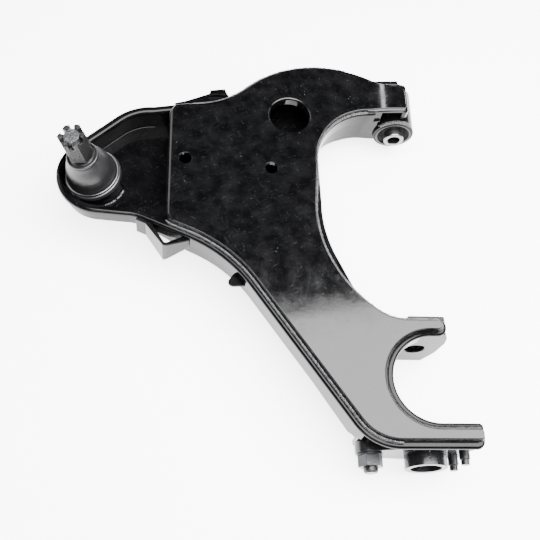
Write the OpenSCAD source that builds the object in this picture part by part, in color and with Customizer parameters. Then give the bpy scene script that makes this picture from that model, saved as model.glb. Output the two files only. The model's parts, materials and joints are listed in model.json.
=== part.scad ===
// Lower control arm: a welded box-section arm with a ball joint at its outer end, a rubber
// bush at the front inner end and a fork with a bolted torsion bar anchor at the rear.
// Origin: centre of the front bush. +Y: pivot axis, towards the front. +Z: out of the top
// plate. The ball joint lies on the -X side.

/* [Arm] */
// Distance from the pivot axis to the ball centre
ball_reach = 324; // [290:1:400]
// How far the ball centre lies behind the front bush centre
ball_setback = 113; // [105:1:122]
// Distance from the front bush centre to the outer face of the fork ear
pivot_span = 282; // [265:1:345]
// Height of the top plate's upper face above the pivot axis
plate_top = 50; // [44:0.5:62]
// Thickness of the top plate
plate_t = 4.5; // [3:0.1:6]
// Sheet thickness of the lower pan
pan_t = 3.5; // [2.5:0.1:4.5]
// Width of the pan's outer rim, from its edge to the pan wall
rim_w = 10; // [8:0.5:12]
// Height of the pan's turned-down outer skirt
skirt_h = 17; // [10:0.5:24]
// Height of the skirt around the ball joint
skirt_end_h = 7; // [5:0.5:12]
// Height of the skirt at the heel, where the rear leg begins
skirt_heel_h = 42; // [24:0.5:44]
// Height of the main box's underside above the pivot axis
pan_bottom = 0; // [-4:0.5:8]
// How far the saddle hangs below the box at the front bush
saddle_drop = 16; // [8:0.5:18]
// Height of the pocket floor's underside above the pivot axis
pocket_bottom = 17; // [10:0.5:22]
// Radius of the large hole in the top plate
access_hole_r = 21; // [16:0.5:26]
// Radius of the two small gauge holes in the top plate
gauge_hole_r = 6.5; // [4:0.25:8]
// Downward bend of the top plate over the front bush
nose_bend = 10; // [0:1:14]

/* [Front bush] */
// Length of the welded bush tube
tube_len = 50; // [40:1:60]
// Outer radius of the bush tube
tube_r = 22.7; // [21:0.1:27]
// Wall thickness of the bush tube
tube_t = 2.7; // [2:0.1:3.5]
// Wall thickness of the bush's steel outer shell
shell_t = 1.8; // [1.2:0.1:2.5]
// Outer radius of the bush's inner sleeve
sleeve_r = 11.2; // [10:0.1:13]
// Bore radius of the inner sleeve, for the front pivot bolt
sleeve_bore_r = 7.1; // [5:0.05:8.5]
// How far the inner sleeve stands out of the tube at each end
sleeve_out = 7.7; // [3:0.1:12]

/* [Fork] */
// Radius of the fork mouth in the top plate
fork_r = 48.5; // [40:0.5:56]
// Radius of the pivot hole in the fork ear
ear_hole_r = 10.15; // [8:0.05:12]
// Thickness of each fork ear
ear_t = 5; // [4:0.5:6]
// Depth of the fork ear below the pivot axis
ear_drop = 35; // [26:0.5:40]
// Width across both fork ears
ear_pair_w = 19; // [16:0.5:22]

/* [Torsion bar anchor] */
// Outer radius of the anchor boss
boss_r = 20.3; // [17:0.1:23]
// Bore radius of the anchor boss
boss_bore_r = 15; // [12:0.1:16]
// How far the end of the boss lies behind the edge of the rear leg
boss_behind_leg = 16.5; // [12:0.5:24]
// How far the boss stands out of the anchor's flange
boss_out = 14; // [8:0.5:22]
// Thickness of the anchor's flange
flange_t = 11; // [7:0.5:13]
// Thread size of the large anchor bolt
big_bolt_d = 14; // [10:1:16]
// Width across flats of the large anchor nut
big_nut_af = 21; // [17:0.5:24]
// Distance from the pivot axis to the large anchor bolt
big_bolt_arm = 53.5; // [50:0.5:62]
// Thread size of the two small anchor bolts
small_bolt_d = 10; // [8:1:10]

/* [Ball joint] */
// Outboard lean of the ball joint's axis
joint_lean = 12; // [0:0.5:16]
// Height of the ball centre above the pivot axis
ball_z = 22; // [18:0.5:28]
// Radius of the ball
ball_r = 14; // [12:0.25:15]
// Outer radius of the housing body
housing_r = 25; // [23:0.5:26]
// Outer radius of the housing's top flange
collar_r = 29; // [28:0.25:30]
// Radius of the dust boot at its base
boot_base_r = 25.5; // [23:0.25:27]
// Radius of the dust boot's top rim
boot_top_r = 15.6; // [14:0.1:18]
// Height of the dust boot above the housing
boot_h = 35; // [28:0.5:40]
// Length of the stud from the ball centre to its end
stud_len = 84; // [78:0.5:92]
// Thread size of the stud
stud_d = 16; // [14:1:18]
// Width across flats of the castle nut
castle_af = 24; // [22:0.5:28]
// Height of the castle nut
castle_h = 29; // [22:0.5:30]

/* [Hidden] */

// Radial gap of a running fit, and of a bolt in its hole
run_gap = 0.05;
bolt_gap = 0.5;
// Overrun that keeps cuts clear of the faces they pass through
cut = 1;
// Largest angle between two points of an arc in an outline
arc_step = 6;

// Where the main features lie in plan
ball_x = -ball_reach;
ball_y = -ball_setback;
plate_left = ball_x + 72;
fork_y = -pivot_span;
fork_mid_y = fork_y - 45.5;
leg_y = fork_mid_y - fork_r - 9.5;
leg_end_x = 43;
ear_tip_x = 22;
waist_c = [36, -150];
waist_r = 138;
bay_c = [-35, -92];
bay_r = 64;
crown_c = [-90, -92];
crown_r = 117;
nose_x = 5;
nose_front_y = 8;
nose_bend_x = -22;

// Stations along the pivot axis at the rear leg, and the left ends of the plates that hang there
boss_y = leg_y - boss_behind_leg;
flange_y0 = boss_y + boss_out;
rear_wall_y0 = flange_y0 + flange_t;
rear_wall_t = 5;
rear_wall_y1 = rear_wall_y0 + rear_wall_t;
rear_wall_x0 = -big_bolt_arm - 13.5;
ear_x0 = -16;
small_bolt_at = [[30, -9], [33, 17]];

// Heights
rim_top = plate_top - plate_t;
skirt_bottom = rim_top - skirt_h;
shell_r = tube_r - tube_t;
sleeve_len = tube_len + 2 * sleeve_out;

// Points of an arc about c from angle a0 to angle a1
function arc(c, r, a0, a1) =
  let (n = max(2, ceil(abs(a1 - a0) / arc_step)))
  [for (i = [0:n]) let (a = a0 + (a1 - a0) * i / n) c + r * [cos(a), sin(a)]];

// The rear edge runs from the ball end to the fork: a line, a hollow arc and a second line
rear_c = [ball_x + 37.7, fork_y - 34.1];
rear_r = 150;
heel_c = [-32.6, leg_y + 45];
heel_r = 45;

// Outline of the top plate, grown outwards by g
function plate_outline(g) = concat(
  arc([plate_left + 12, ball_y + 69.5], 12 + g, 90, 180),
  arc([plate_left + 12, ball_y - 47], 12 + g, 180, 247),
  arc(rear_c, rear_r - g, 67, 34),
  arc(heel_c, heel_r + g, 214, 270),
  arc([leg_end_x - 2, leg_y + 2], 2 + g, 270, 360),
  arc([leg_end_x - 2, leg_y + 7.5], 2 + g, 0, 90),
  arc([4, fork_mid_y], fork_r - g, 270, 90),
  arc([11, fork_y + 7.5], 4.5 + g, 270, 450),
  arc([-19, fork_y + 57], 45 - g, 270, 234),
  arc(waist_c, waist_r - g, 233, 178),
  arc(bay_c, bay_r - g, 186, 91),
  arc([nose_x - 4, -17], 4 + g, 270, 360),
  arc([nose_x - 7, nose_front_y - 7], 7 + g, 0, 90),
  [[-26, nose_front_y + g]],
  arc(crown_c, crown_r + g, 66, 133),
  arc([ball_x + 94, 57.9], 88 - g, 313, 270));

// Outer edge of the pan's rim, moved inwards by g; the narrow fork tip draws back as g grows
end_c = [ball_x + 6, ball_y - 4];
end_r = 44;
far_c = [ball_x + 56, ball_y + 23];
far_r = 57.5;
elbow_c = [ball_x + 32, ball_y - 90];
elbow_r = 40;
rim_side = 8;
rear_rim_r = rear_r - rim_side;
straight_a = 67;
function rim_outline(g) = let (back = g * g) concat(
  arc(far_c, far_r - g, 90, 135),
  arc(end_c, end_r - g, 135, 268),
  arc(elbow_c, elbow_r + g, 90, straight_a),
  arc(rear_c, rear_rim_r + g, straight_a, 34),
  arc(heel_c, heel_r + rim_side - g, 214, 270),
  arc([leg_end_x - 6, leg_y], 8 - min(g, 7), 270, 360),
  arc([leg_end_x - 2, leg_y + 12.5], 4 - min(g, 3), 0, 90),
  arc([7, fork_mid_y + 1], fork_r - 6 + g, 270, 90 + 0.15 * back),
  arc([ear_tip_x - 10 - 0.185 * back, fork_y + 7], 9 - min(g, 8.5), 270, 450),
  arc([-19, fork_y + 57], 41 + g, 270 + 0.15 * back, 234),
  arc(waist_c, waist_r - 4 + g, 233, 220),
  arc(waist_c + [4, 4], waist_r - 3.5 + g, 204, 178),
  arc(bay_c, bay_r - 3 + g, 186, 91),
  arc([nose_x - 1, -17], 5 - min(g, 4), 270, 360),
  arc([nose_x - 4, 4], 8 - min(g, 7), 0, 80),
  [[nose_x - 7, 13 - g], [nose_x - 8, 17 - g]],
  arc(crown_c + [4, 0], crown_r + 4 - g, 62, 132.4),
  arc([ball_x + 99, 60], 85 + g, 312.4, 270));

module plate_shape(g = 0) polygon(plate_outline(g));
module rim_shape(g = 0) polygon(rim_outline(g));

// Stands children on the ball joint's own axis, with the ball centre at zero
module at_joint() translate([ball_x, ball_y, ball_z]) rotate([0, -joint_lean, 0]) children();

// Turns a shape drawn in X and Z into a slab from y0 to y1
module slab_y(y0, y1) translate([0, y1, 0]) rotate([90, 0, 0]) linear_extrude(y1 - y0) children();

// Turns a shape drawn in Y and Z into a slab from x0 to x1
module slab_x(x0, x1) translate([x0, 0, 0]) rotate([90, 0, 90]) linear_extrude(x1 - x0) children();

// A cylinder along Y from y0 to y1
module rod_y(x, z, r, y0, y1, sides = 64)
  translate([x, y1, z]) rotate([90, 0, 0]) cylinder(h = y1 - y0, r = r, $fn = sides);

// Side view of the top plate where its nose bends down over the bush, from z0 up by t
nose_run = 60;
nose_drop = nose_run * tan(nose_bend);
module nose_view(t) polygon([[-600, rim_top], [nose_bend_x, rim_top],
  [nose_bend_x + nose_run, rim_top - nose_drop], [nose_bend_x + nose_run, rim_top - nose_drop + t],
  [nose_bend_x, rim_top + t], [-600, rim_top + t]]);

module upper_plate() color("#15161a") difference() {
  union() {
    intersection() {
      linear_extrude(200) plate_shape();
      union() {
        slab_y(-60, 60) nose_view(plate_t);
        translate([-600, -600, rim_top]) cube([800, 541, plate_t]);
      }
    }
    // Turned-down lip across the pocket
    translate([plate_left + 0.2, ball_y - 40, rim_top - 6]) cube([4, 102, 6 + plate_t / 2]);
    // Turned-down collar of the large hole
    translate([-125, -40, rim_top - 5]) cylinder(h = 5 + plate_t / 2, r = access_hole_r + 3, $fn = 96);
  }
  translate([-125, -40, 0]) cylinder(h = 100, r = access_hole_r, $fn = 96);
  for (p = [[ball_x + 90, ball_y + 15], [-146, -106]])
    translate([p[0], p[1], 0]) cylinder(h = 100, r = gauge_hole_r, $fn = 48);
}

// Pan wall and floor down to z0
module tray(z0) difference() {
  translate([0, 0, z0]) linear_extrude(rim_top - z0) rim_shape(rim_w - pan_t);
  translate([0, 0, z0 + pan_t]) linear_extrude(rim_top) rim_shape(rim_w);
}

// Flat rim of the pan; in front of the plate's nose it stays level, beneath it it bends down
module pan_rim() intersection() {
  linear_extrude(200) difference() {
    rim_shape();
    rim_shape(rim_w);
  }
  union() {
    slab_y(-60, nose_front_y) translate([0, -pan_t]) nose_view(pan_t);
    slab_y(nose_front_y, 60) polygon([[-600, rim_top - pan_t - nose_drop], [60, rim_top - pan_t - nose_drop],
      [60, rim_top], [-600, rim_top]]);
    translate([-600, -600, rim_top - pan_t]) cube([800, 541, pan_t]);
  }
}

// Turned-down skirt: low around the ball joint, deep at the heel
module pan_skirt() intersection() {
  translate([0, 0, rim_top - skirt_heel_h]) linear_extrude(skirt_heel_h) difference() {
    rim_shape();
    rim_shape(pan_t);
  }
  union() {
    slab_y(-600, 60) polygon([[-600, rim_top], [-600, rim_top - skirt_end_h],
      [ball_x - 8, rim_top - skirt_end_h], [ball_x + 38, skirt_bottom], [60, skirt_bottom], [60, rim_top]]);
    slab_x(-600, rear_wall_x0) polygon([[fork_y + 26, rim_top], [fork_y + 26, skirt_bottom],
      [fork_y - 63, rim_top - skirt_heel_h], [fork_y - 80, rim_top - skirt_heel_h],
      [fork_y - 93, rim_top - skirt_heel_h + 16], [fork_y - 93, rim_top]]);
  }
}

module lower_pan() color("#15161a") {
  step_x = plate_left + 14;
  difference() {
    union() {
      pan_rim();
      pan_skirt();
      intersection() {
        tray(pocket_bottom);
        translate([-600, -600, 0]) cube([600 + step_x, 800, 200]);
      }
      intersection() {
        tray(pan_bottom);
        translate([step_x, -600, -100]) cube([600, 800, 300]);
      }
      intersection() {
        translate([step_x, -600, pan_bottom]) cube([pan_t, 800, pocket_bottom + pan_t - pan_bottom]);
        translate([0, 0, pan_bottom]) linear_extrude(rim_top) rim_shape(rim_w);
      }
    }
    // Seat for the bush tube, and the open mouth above its rear end
    rod_y(0, 0, tube_r, -60, 60, 128);
    slab_y(-60, -10) polygon([[nose_bend_x, 0], [2, 0],
      [2, rim_top - pan_t + (nose_bend_x - 2) * tan(nose_bend)], [nose_bend_x, rim_top - pan_t]]);
    slab_y(-60, nose_front_y + run_gap) nose_view(60);
    // Opening for the ball joint
    at_joint() translate([0, 0, -40]) cylinder(h = 80, r = housing_r + 2, $fn = 96);
    at_joint() translate([0, 0, 5]) cylinder(h = 80, r = collar_r + 1.2, $fn = 96);
    // Room for the rear wall plate, the head of the large bolt and the fork ears
    translate([rear_wall_x0, leg_y - 20, -60]) cube([200, 20 + rear_wall_y1 - leg_y, 60 + rim_top - pan_t]);
    rod_y(-big_bolt_arm, 0, big_nut_af / sqrt(3) + 1, rear_wall_y1 - cut, rear_wall_y1 + bolt_head_t + cut);
    translate([ear_x0, fork_y - 4, -60]) cube([80, ear_pair_w + 6, 60 + rim_top - pan_t]);
    // Lightening and drain holes in the floor
    for (h = [[-125, -54, 14], [-150, -130, 20], [-105, -225, 14], [plate_left + 40, -120, 10]])
      translate([h[0], h[1], pan_bottom - cut]) cylinder(h = 10, r = h[2], $fn = 64);
  }
}

// Pressed saddle that carries the box's walls down to the sides of the bush tube
module bush_saddle() color("#15161a") {
  x0 = -92;
  x1 = -12;
  y0 = -64;
  z0 = pan_bottom - saddle_drop;
  difference() {
    intersection() {
      translate([0, 0, z0]) linear_extrude(saddle_drop) rim_shape(rim_w - pan_t);
      slab_y(y0, 40) polygon([[x0, pan_bottom], [x0, pan_bottom - 1], [x0 + 30, pan_bottom - saddle_drop / 2],
        [x1 - 26, pan_bottom - saddle_drop / 2 - 1], [x1, z0], [x1, pan_bottom]]);
    }
    intersection() {
      translate([0, 0, z0 - cut]) linear_extrude(saddle_drop + 2 * cut) rim_shape(rim_w);
      slab_y(y0 + pan_t, 40) polygon([[x0 + 14, pan_bottom + cut], [x0 + 30, pan_bottom - saddle_drop / 2 + pan_t],
        [x1 - 26, pan_bottom - saddle_drop / 2 - 1 + pan_t], [x1 + cut, z0 + pan_t + cut], [x1 + cut, pan_bottom + cut]]);
    }
    rod_y(0, 0, tube_r, -60, 60, 128);
  }
}

// Folded rib that joins the plate to the floor inside the box
module box_rib() color("#15161a") {
  rib_h = rim_top - pan_bottom - pan_t;
  for (y = [-186, -72])
    translate([-176, y, pan_bottom + pan_t]) cube([60, 3, rib_h]);
  translate([-179, -186, pan_bottom + pan_t]) cube([3, 117, rib_h]);
}

module front_bush_tube() color("#1a1b1e") difference() {
  rod_y(0, 0, tube_r, -tube_len / 2, tube_len / 2, 128);
  rod_y(0, 0, shell_r, -tube_len, tube_len, 128);
}

module bush_outer_shell() color("#3c3e42") difference() {
  rod_y(0, 0, shell_r, -tube_len / 2 - 0.8, tube_len / 2 + 0.8, 128);
  rod_y(0, 0, shell_r - shell_t, -tube_len, tube_len, 128);
}

// Rubber bonded to the shell, dished at both ends
module bush_rubber() color("#1b1b1b") rotate([-90, 0, 0]) rotate_extrude($fn = 128) {
  r0 = sleeve_r + run_gap;
  r1 = shell_r - shell_t;
  r_mid = (r0 + r1) / 2;
  y1 = tube_len / 2 - 1;
  polygon([[r0, -y1], [r_mid, -y1 + 4], [r1, -y1], [r1, y1], [r_mid, y1 - 4], [r0, y1]]);
}

module bush_inner_sleeve() color("#8d9096") rotate([-90, 0, 0]) rotate_extrude($fn = 128) {
  y1 = sleeve_len / 2;
  c = 0.8;
  polygon([[sleeve_bore_r, -y1], [sleeve_r - c, -y1], [sleeve_r, -y1 + c], [sleeve_r, y1 - c],
    [sleeve_r - c, y1], [sleeve_bore_r, y1]]);
}

// One ear of the fork, hanging from the rim with its outer face at y0
module ear(y0) difference() {
  slab_y(y0, y0 + ear_t) polygon([[ear_x0, rim_top - pan_t], [ear_x0, -ear_drop],
    [16, -ear_drop], [24, -11], [27, 17], [ear_tip_x + 3, 30], [ear_tip_x - 2, rim_top - pan_t]]);
  rod_y(0, 0, ear_hole_r, y0 - cut, y0 + ear_t + cut);
}

module fork_ear() color("#26282c") ear(fork_y);
module fork_ear_inner() color("#26282c") ear(fork_y + ear_pair_w - ear_t);

module ear_spacer() color("#3c3e42") difference() {
  rod_y(0, 0, ear_hole_r + 3.5, fork_y + ear_t, fork_y + ear_pair_w - ear_t);
  rod_y(0, 0, ear_hole_r, fork_y, fork_y + ear_pair_w);
}

// Closes the rear leg below its rim and carries the anchor
module rear_wall_plate() color("#1a1b1e") difference() {
  slab_y(rear_wall_y0, rear_wall_y1)
    polygon([[rear_wall_x0, rim_top - pan_t], [rear_wall_x0, -12], [rear_wall_x0 + 12, -24],
      [leg_end_x - 14, -24], [leg_end_x - 2, -12], [leg_end_x - 2, rim_top - pan_t]]);
  rod_y(0, 0, boss_r, rear_wall_y0 - cut, rear_wall_y1 + cut, 96);
  rod_y(-big_bolt_arm, 0, big_bolt_d / 2 + bolt_gap, rear_wall_y0 - cut, rear_wall_y1 + cut);
  for (p = small_bolt_at)
    rod_y(p[0], p[1], small_bolt_d / 2 + bolt_gap, rear_wall_y0 - cut, rear_wall_y1 + cut);
}

// Flange shape between two round eyes
module link_2d(p, rp, q, rq) hull() {
  translate(p) circle(r = rp, $fn = 32);
  translate(q) circle(r = rq, $fn = 32);
}

// Forged arm with the boss that takes the torsion bar
module torsion_anchor() color("#2c2e33") difference() {
  union() {
    slab_y(flange_y0, rear_wall_y0) {
      link_2d([0, 0], boss_r + 4, [-big_bolt_arm, 0], 14);
      for (p = small_bolt_at) link_2d([0, 0], boss_r + 4, p, small_bolt_d);
    }
    rod_y(0, 0, boss_r, boss_y, rear_wall_y1, 96);
  }
  rod_y(0, 0, boss_bore_r, boss_y - cut, rear_wall_y1 + cut, 96);
  rod_y(-big_bolt_arm, 0, big_bolt_d / 2 + bolt_gap, flange_y0 - cut, rear_wall_y0 + cut);
  for (p = small_bolt_at)
    rod_y(p[0], p[1], small_bolt_d / 2, flange_y0 - cut, rear_wall_y0 + cut);
}

washer_t = 1.6;
big_nut_t = 11;
big_bolt_tip = 5.5;
bolt_head_t = 8.8;

module anchor_bolt() color("#55585e") {
  r = big_bolt_d / 2;
  tip_y = flange_y0 - washer_t - big_nut_t - big_bolt_tip;
  rod_y(-big_bolt_arm, 0, r, tip_y + 1, rear_wall_y1);
  rod_y(-big_bolt_arm, 0, r - 1, tip_y, tip_y + 1);
  rod_y(-big_bolt_arm, 0, big_nut_af / sqrt(3), rear_wall_y1, rear_wall_y1 + bolt_head_t, 6);
}

module anchor_nut() color("#6a6d73") difference() {
  y0 = flange_y0 - washer_t - big_nut_t;
  rod_y(-big_bolt_arm, 0, big_nut_af / sqrt(3), y0, y0 + big_nut_t, 6);
  rod_y(-big_bolt_arm, 0, big_bolt_d / 2, y0 - cut, y0 + big_nut_t + cut);
}

module anchor_washer() color("#6a6d73") difference() {
  rod_y(-big_bolt_arm, 0, big_nut_af / sqrt(3), flange_y0 - washer_t, flange_y0);
  rod_y(-big_bolt_arm, 0, big_bolt_d / 2, flange_y0 - washer_t - cut, flange_y0 + cut);
}

small_washer_t = 1.6;

module small_bolts() color("#55585e") for (p = small_bolt_at) {
  r = small_bolt_d / 2;
  rod_y(p[0], p[1], r, flange_y0 - 9, rear_wall_y1 + small_washer_t);
  rod_y(p[0], p[1], r - 1, flange_y0 - 14, flange_y0 - 9);
  rod_y(p[0], p[1], r * 1.6, rear_wall_y1 + small_washer_t, rear_wall_y1 + small_washer_t + 6, 6);
}

module small_washers() color("#6a6d73") for (p = small_bolt_at) difference() {
  rod_y(p[0], p[1], small_bolt_d, rear_wall_y1, rear_wall_y1 + small_washer_t);
  rod_y(p[0], p[1], small_bolt_d / 2, rear_wall_y1 - cut, rear_wall_y1 + small_washer_t + cut);
}

// Leaves only what lies outside the pan's rim
module off_the_rim() difference() {
  children();
  translate([0, 0, -200]) linear_extrude(400) rim_shape();
}

// Folded strap welded to the rear skirt, drawn along the straight stretch of the rim's edge
module link_bracket() color("#26282c") off_the_rim() {
  p0 = elbow_c + elbow_r * [cos(straight_a), sin(straight_a)];
  p1 = rear_c + rear_rim_r * [cos(straight_a), sin(straight_a)];
  translate(p1) rotate(atan2(p0[1] - p1[1], p0[0] - p1[0])) intersection() {
    translate([0, 0, -50]) linear_extrude(150) polygon([[-4, -3], [-3, 2], [15, 15], [19, 15.5], [43, 3],
      [53, 4], [53, -6], [42, -3], [19, 12], [17, 12], [2, -3]]);
    slab_y(-20, 40) polygon([[-6, rim_top - 17], [18, rim_top - 40], [45, rim_top - 27],
      [54, rim_top - 25], [54, rim_top + 0.5], [45, rim_top - 1], [18, rim_top - 5.5], [-6, rim_top - 3.5]]);
  }
}

// Small pointed tab low on the rear skirt
module hose_tab() color("#26282c") off_the_rim()
  translate([rear_c[0], rear_c[1], skirt_bottom]) rotate(40) linear_extrude(3)
    translate([rear_rim_r, 0]) polygon([[2, -9], [2, 10], [-1, 9.5], [-9, 7.5], [-11, 5.5], [-11.5, 3], [-10, 0]]);

// Strap and block on the front edge
module stop_bracket() color("#26282c") off_the_rim() {
  x = ball_x;
  y = ball_y;
  z = rim_top - 13;
  translate([0, 0, z]) linear_extrude(3.5) polygon([[x + 77, y + 92], [x + 90, y + 96], [x + 115, y + 107],
    [x + 132, y + 110], [x + 136, y + 103], [x + 142, y + 94], [x + 140, y + 80], [x + 90, y + 80]]);
  translate([0, 0, z + 3.5]) linear_extrude(5.5) polygon([[x + 114, y + 101], [x + 115, y + 107],
    [x + 131, y + 109.5], [x + 133, y + 102]]);
}

neck_r = 7.5;
seat_r = housing_r - 5;
seat_top = 8.5;
housing_z0 = -22;
cap_t = 3;
disc_t = 2.5;
shelf_z = 10;
top_z = 15;

module joint_socket_ring() color("#26282c") at_joint() difference() {
  translate([0, 0, -10]) cylinder(h = shelf_z + 10, r = housing_r + 2, $fn = 96);
  translate([0, 0, -11]) cylinder(h = 40, r = housing_r, $fn = 96);
}

module joint_housing() color("#3c3e42") at_joint() rotate_extrude($fn = 128)
  polygon([[seat_r, housing_z0], [housing_r, housing_z0], [housing_r, shelf_z],
    [collar_r, shelf_z], [collar_r, top_z - 1], [collar_r - 1, top_z], [16.5, top_z],
    [14, shelf_z], [14, seat_top], [seat_r, seat_top]]);

module joint_end_cap() color("#3c3e42") at_joint()
  translate([0, 0, housing_z0]) cylinder(h = cap_t, r = seat_r, $fn = 96);

// Dished spring washer that loads the seat
module pressure_disc() color("#6a6d73") at_joint() rotate_extrude($fn = 96) {
  z0 = housing_z0 + cap_t;
  polygon([[6, z0 + 1], [seat_r - 2, z0], [seat_r - 2, z0 + 1.5], [6, z0 + disc_t]]);
}

module lower_seat() color("#d8d4c4") at_joint() difference() {
  z0 = housing_z0 + cap_t + disc_t;
  translate([0, 0, z0]) cylinder(h = -z0, r = seat_r, $fn = 96);
  sphere(r = ball_r + run_gap, $fn = 96);
}

module upper_seat() color("#d8d4c4") at_joint() difference() {
  cylinder(h = seat_top, r = seat_r, $fn = 96);
  sphere(r = ball_r + run_gap, $fn = 96);
  translate([0, 0, 5]) cylinder(h = 10, r = ball_r - 0.8, $fn = 96);
}

stud_r = stud_d / 2;
boot_z1 = top_z + boot_h;
lip_t = 3.2;
nut_z0 = stud_len - castle_h;

module ball_stud() color("#8d9096") at_joint() {
  sphere(r = ball_r, $fn = 96);
  rotate_extrude($fn = 96) polygon([[0, 0], [neck_r, 0], [neck_r, 23], [stud_r + 1.3, 25],
    [stud_r + 0.3, boot_z1 - 5], [stud_r + 0.3, nut_z0 - 1.2], [stud_r, nut_z0 - 0.9],
    [stud_r, stud_len - 0.8], [stud_r - 0.8, stud_len], [0, stud_len]]);
}

module castle_nut() color("#55585e") at_joint() translate([0, 0, nut_z0]) difference() {
  cylinder(h = castle_h, r = castle_af / sqrt(3), $fn = 6);
  translate([0, 0, -cut]) cylinder(h = castle_h + 2 * cut, r = stud_r, $fn = 96);
  for (a = [30:60:330]) rotate(a) translate([stud_r - 2, -2.3, castle_h - 7]) cube([10, 4.6, 8]);
}

boot_gap = 0.4;

// Hollow rubber bellows-less boot, a rounded cone
module dust_boot() color("#202124") at_joint() rotate_extrude($fn = 96) {
  z0 = top_z + boot_gap;
  z1 = boot_z1 - lip_t - boot_gap;
  w = 2.2;
  side = [for (i = [0:10]) let (t = i / 10)
    [boot_top_r + (boot_base_r - boot_top_r) * pow(1 - pow(t, 2.4), 0.72), z0 + (z1 - z0) * t]];
  polygon(concat(side, [for (i = [10:-1:0]) [side[i][0] - w, side[i][1] - (i == 0 ? 0 : 0.6)]]));
}

module boot_top_ring() color("#26282c") at_joint() rotate_extrude($fn = 96) {
  z0 = boot_z1 - lip_t;
  polygon([[stud_r + 0.7, z0], [boot_top_r - 0.5, z0], [boot_top_r, z0 + 1.6],
    [boot_top_r - 0.8, z0 + lip_t], [boot_top_r - 3, z0 + lip_t], [boot_top_r - 4, z0 + 1.4],
    [stud_r + 0.7, z0 + 1.4]]);
}

module boot_clamp_ring() color("#8d9096") at_joint() difference() {
  translate([0, 0, top_z]) cylinder(h = 2.6, r = boot_base_r + 1.9, $fn = 96);
  translate([0, 0, top_z - cut]) cylinder(h = 6, r = boot_base_r + boot_gap, $fn = 96);
}

upper_plate();
lower_pan();
bush_saddle();
box_rib();
front_bush_tube();
bush_outer_shell();
bush_rubber();
bush_inner_sleeve();
fork_ear();
fork_ear_inner();
ear_spacer();
rear_wall_plate();
torsion_anchor();
anchor_bolt();
anchor_nut();
anchor_washer();
small_bolts();
small_washers();
link_bracket();
hose_tab();
stop_bracket();
joint_socket_ring();
joint_housing();
joint_end_cap();
pressure_disc();
lower_seat();
upper_seat();
ball_stud();
castle_nut();
dust_boot();
boot_top_ring();
boot_clamp_ring();
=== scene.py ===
import bpy, bmesh, json, math
from mathutils import Vector, Matrix


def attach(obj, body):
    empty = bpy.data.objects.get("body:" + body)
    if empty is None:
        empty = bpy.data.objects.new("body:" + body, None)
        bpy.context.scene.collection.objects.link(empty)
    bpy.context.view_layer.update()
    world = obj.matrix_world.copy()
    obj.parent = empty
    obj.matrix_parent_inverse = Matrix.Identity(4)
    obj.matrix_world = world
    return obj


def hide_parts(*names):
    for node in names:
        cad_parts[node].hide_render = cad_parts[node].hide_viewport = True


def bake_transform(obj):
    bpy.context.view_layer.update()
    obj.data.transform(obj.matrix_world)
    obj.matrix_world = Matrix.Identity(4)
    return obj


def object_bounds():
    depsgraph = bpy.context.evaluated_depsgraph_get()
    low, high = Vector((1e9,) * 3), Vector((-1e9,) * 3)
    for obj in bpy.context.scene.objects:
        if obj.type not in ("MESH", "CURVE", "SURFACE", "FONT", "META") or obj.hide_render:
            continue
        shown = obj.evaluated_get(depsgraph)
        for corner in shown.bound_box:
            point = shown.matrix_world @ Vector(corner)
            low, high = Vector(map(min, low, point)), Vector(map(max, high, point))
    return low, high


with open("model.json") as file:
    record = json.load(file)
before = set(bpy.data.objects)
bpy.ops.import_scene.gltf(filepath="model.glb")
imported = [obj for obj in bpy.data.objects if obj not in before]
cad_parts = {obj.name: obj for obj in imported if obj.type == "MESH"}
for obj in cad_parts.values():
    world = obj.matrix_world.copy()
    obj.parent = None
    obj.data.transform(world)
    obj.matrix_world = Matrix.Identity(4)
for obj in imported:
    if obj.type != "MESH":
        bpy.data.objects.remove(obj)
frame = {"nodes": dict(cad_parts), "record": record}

cad_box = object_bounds()

# Camera: looks down on the plate from behind the fork, with the ball joint at the left and the
# front bush at the upper right.
camera_data = bpy.data.cameras.new("camera")
camera_data.lens = 56
camera_data.sensor_width = 36
camera = bpy.data.objects.new("camera", camera_data)
bpy.context.collection.objects.link(camera)
look_at = Vector((-0.1443, -0.1982, 0))
camera_distance = 0.8661
turn, rise, roll = math.radians(-14.1), math.radians(64.2), math.radians(14.2)
towards_camera = Vector((math.sin(turn) * math.cos(rise), -math.cos(turn) * math.cos(rise), math.sin(rise)))
stand = (-towards_camera).to_track_quat("-Z", "Y").to_matrix().to_4x4() @ Matrix.Rotation(roll, 4, "Z")
stand.translation = look_at + towards_camera * camera_distance
camera.matrix_world = stand
bpy.context.scene.camera = camera

# Studio floor: plain and pale, with a painted glow near the part that fills in its shadow, so that it
# stays white under it. It is clear from below, so that the underside of the arm can be looked at.
floor_half, floor_z = 6, cad_box[0][2] - 0.0005
painted_glow_near, painted_glow_far = 4.0, 0.3
glow_from, glow_to = 0.5, 1.5
floor_mesh = bpy.data.meshes.new("studio_floor")
floor_mesh.from_pydata([(x * floor_half, y * floor_half, floor_z) for x, y in ((-1, -1), (1, -1), (1, 1), (-1, 1))],
                       [], [(0, 1, 2, 3)])
floor = bpy.data.objects.new("studio_floor", floor_mesh)
bpy.context.collection.objects.link(floor)
floor_paint = bpy.data.materials.new("studio_floor")
floor_paint.use_nodes = True
floor_nodes, floor_links = floor_paint.node_tree.nodes, floor_paint.node_tree.links
floor_shader = floor_nodes["Principled BSDF"]
floor_shader.inputs["Base Color"].default_value = (0.85, 0.85, 0.85, 1)
floor_shader.inputs["Roughness"].default_value = 0.9
floor_shader.inputs["Specular IOR Level"].default_value = 0.1
floor_shader.inputs["Emission Color"].default_value = (1, 1, 1, 1)
floor_at, floor_far = floor_nodes.new("ShaderNodeTexCoord"), floor_nodes.new("ShaderNodeVectorMath")
floor_far.operation = "DISTANCE"
floor_far.inputs[1].default_value = (-0.15, -0.2, floor_z)
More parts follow.
